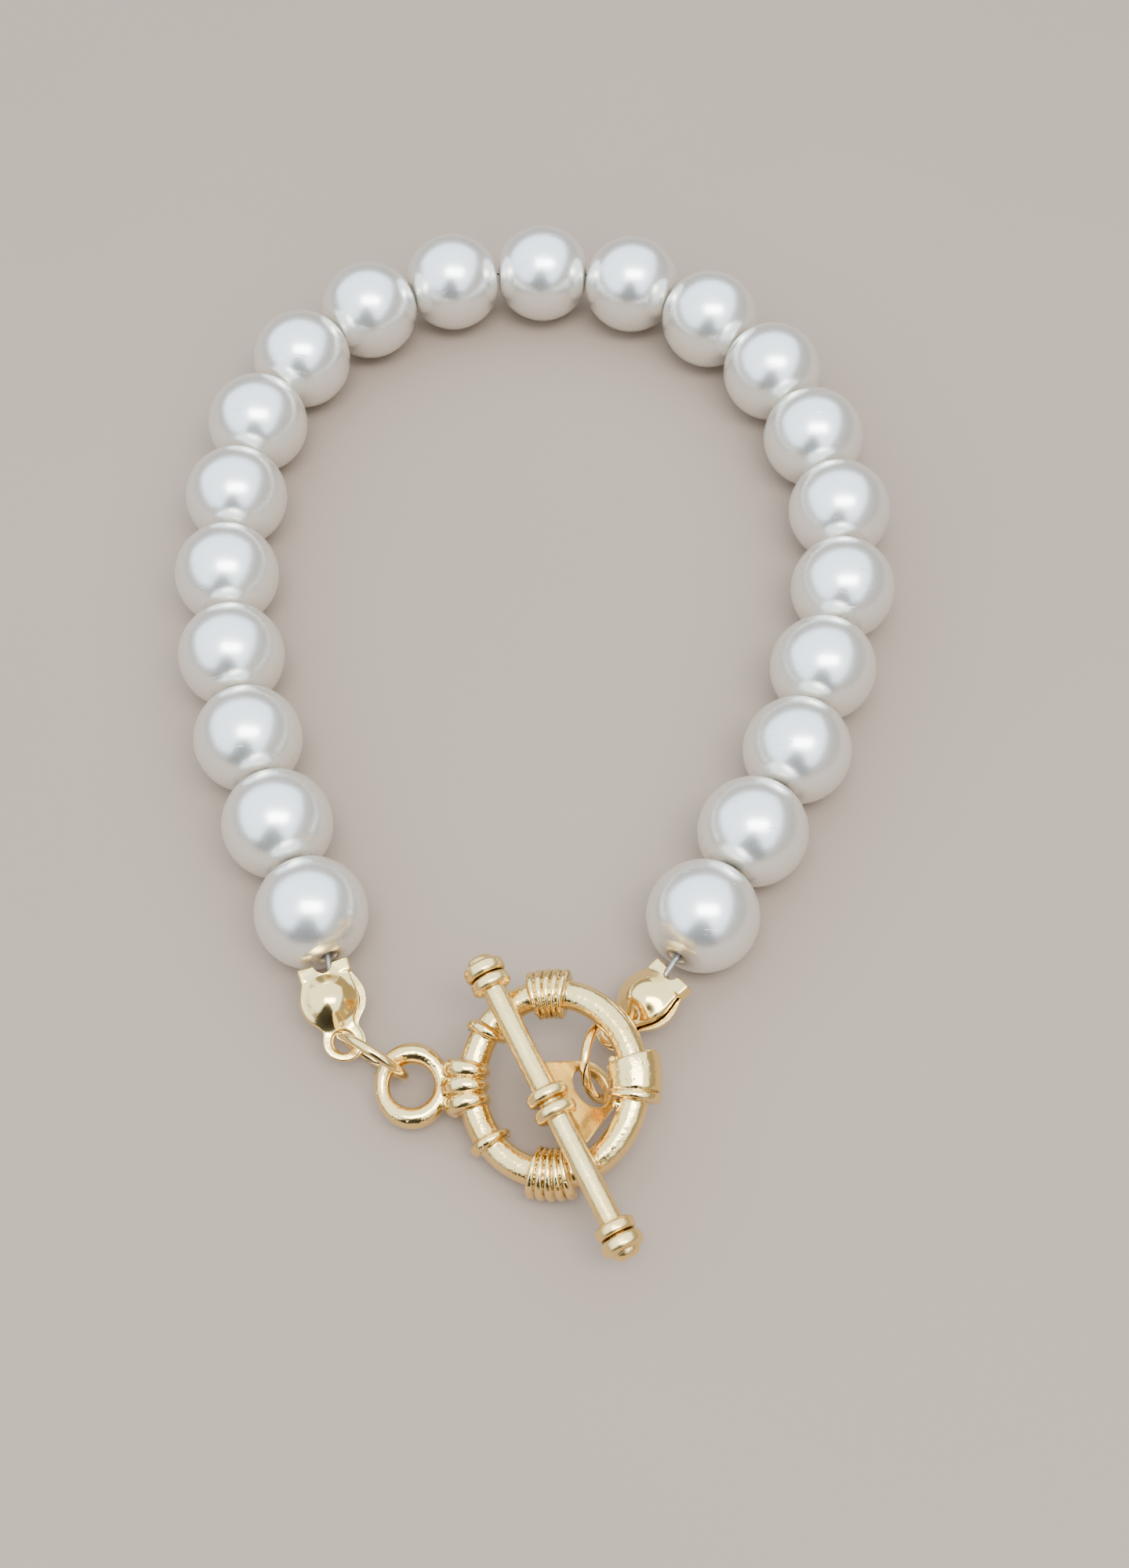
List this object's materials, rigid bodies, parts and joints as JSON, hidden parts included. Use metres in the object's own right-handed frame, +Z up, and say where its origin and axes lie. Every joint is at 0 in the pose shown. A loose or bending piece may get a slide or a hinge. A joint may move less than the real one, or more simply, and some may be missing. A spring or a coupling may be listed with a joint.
{
  "type": "pearl bracelet",
  "caption": "Single strand of round faux pearls closed into a bracelet by folded bead tips, jump rings and a fastened ring-and-bar toggle clasp, lying flat.",
  "frame": {"origin": "middle of the lying bracelet's footprint, on the surface it lies on", "axes": "+Z up from the surface, +Y along the loop away from the clasp, +X towards the side whose strand ends on the toggle bar"},
  "size_m": [0.056, 0.0912, 0.0084],
  "materials": {
    "pearl": "gloss",
    "gold": "polished",
    "thread": "satin"
  },
  "bodies": {
    "root": {"pearl_01": "pearl", "pearl_02": "pearl", "pearl_03": "pearl", "pearl_04": "pearl", "pearl_05": "pearl", "pearl_06": "pearl", "pearl_07": "pearl", "pearl_08": "pearl", "pearl_09": "pearl", "pearl_10": "pearl", "pearl_11": "pearl", "pearl_12": "pearl", "pearl_13": "pearl", "pearl_14": "pearl", "pearl_15": "pearl", "pearl_16": "pearl", "pearl_17": "pearl", "pearl_18": "pearl", "pearl_19": "pearl", "pearl_20": "pearl", "pearl_21": "pearl", "bead_tip_left": "gold", "bead_tip_right": "gold", "jump_ring_left": "gold", "jump_ring_right": "gold", "toggle_ring": "gold", "toggle_bar": "gold", "thread": "thread"}
  },
  "joints": []
}
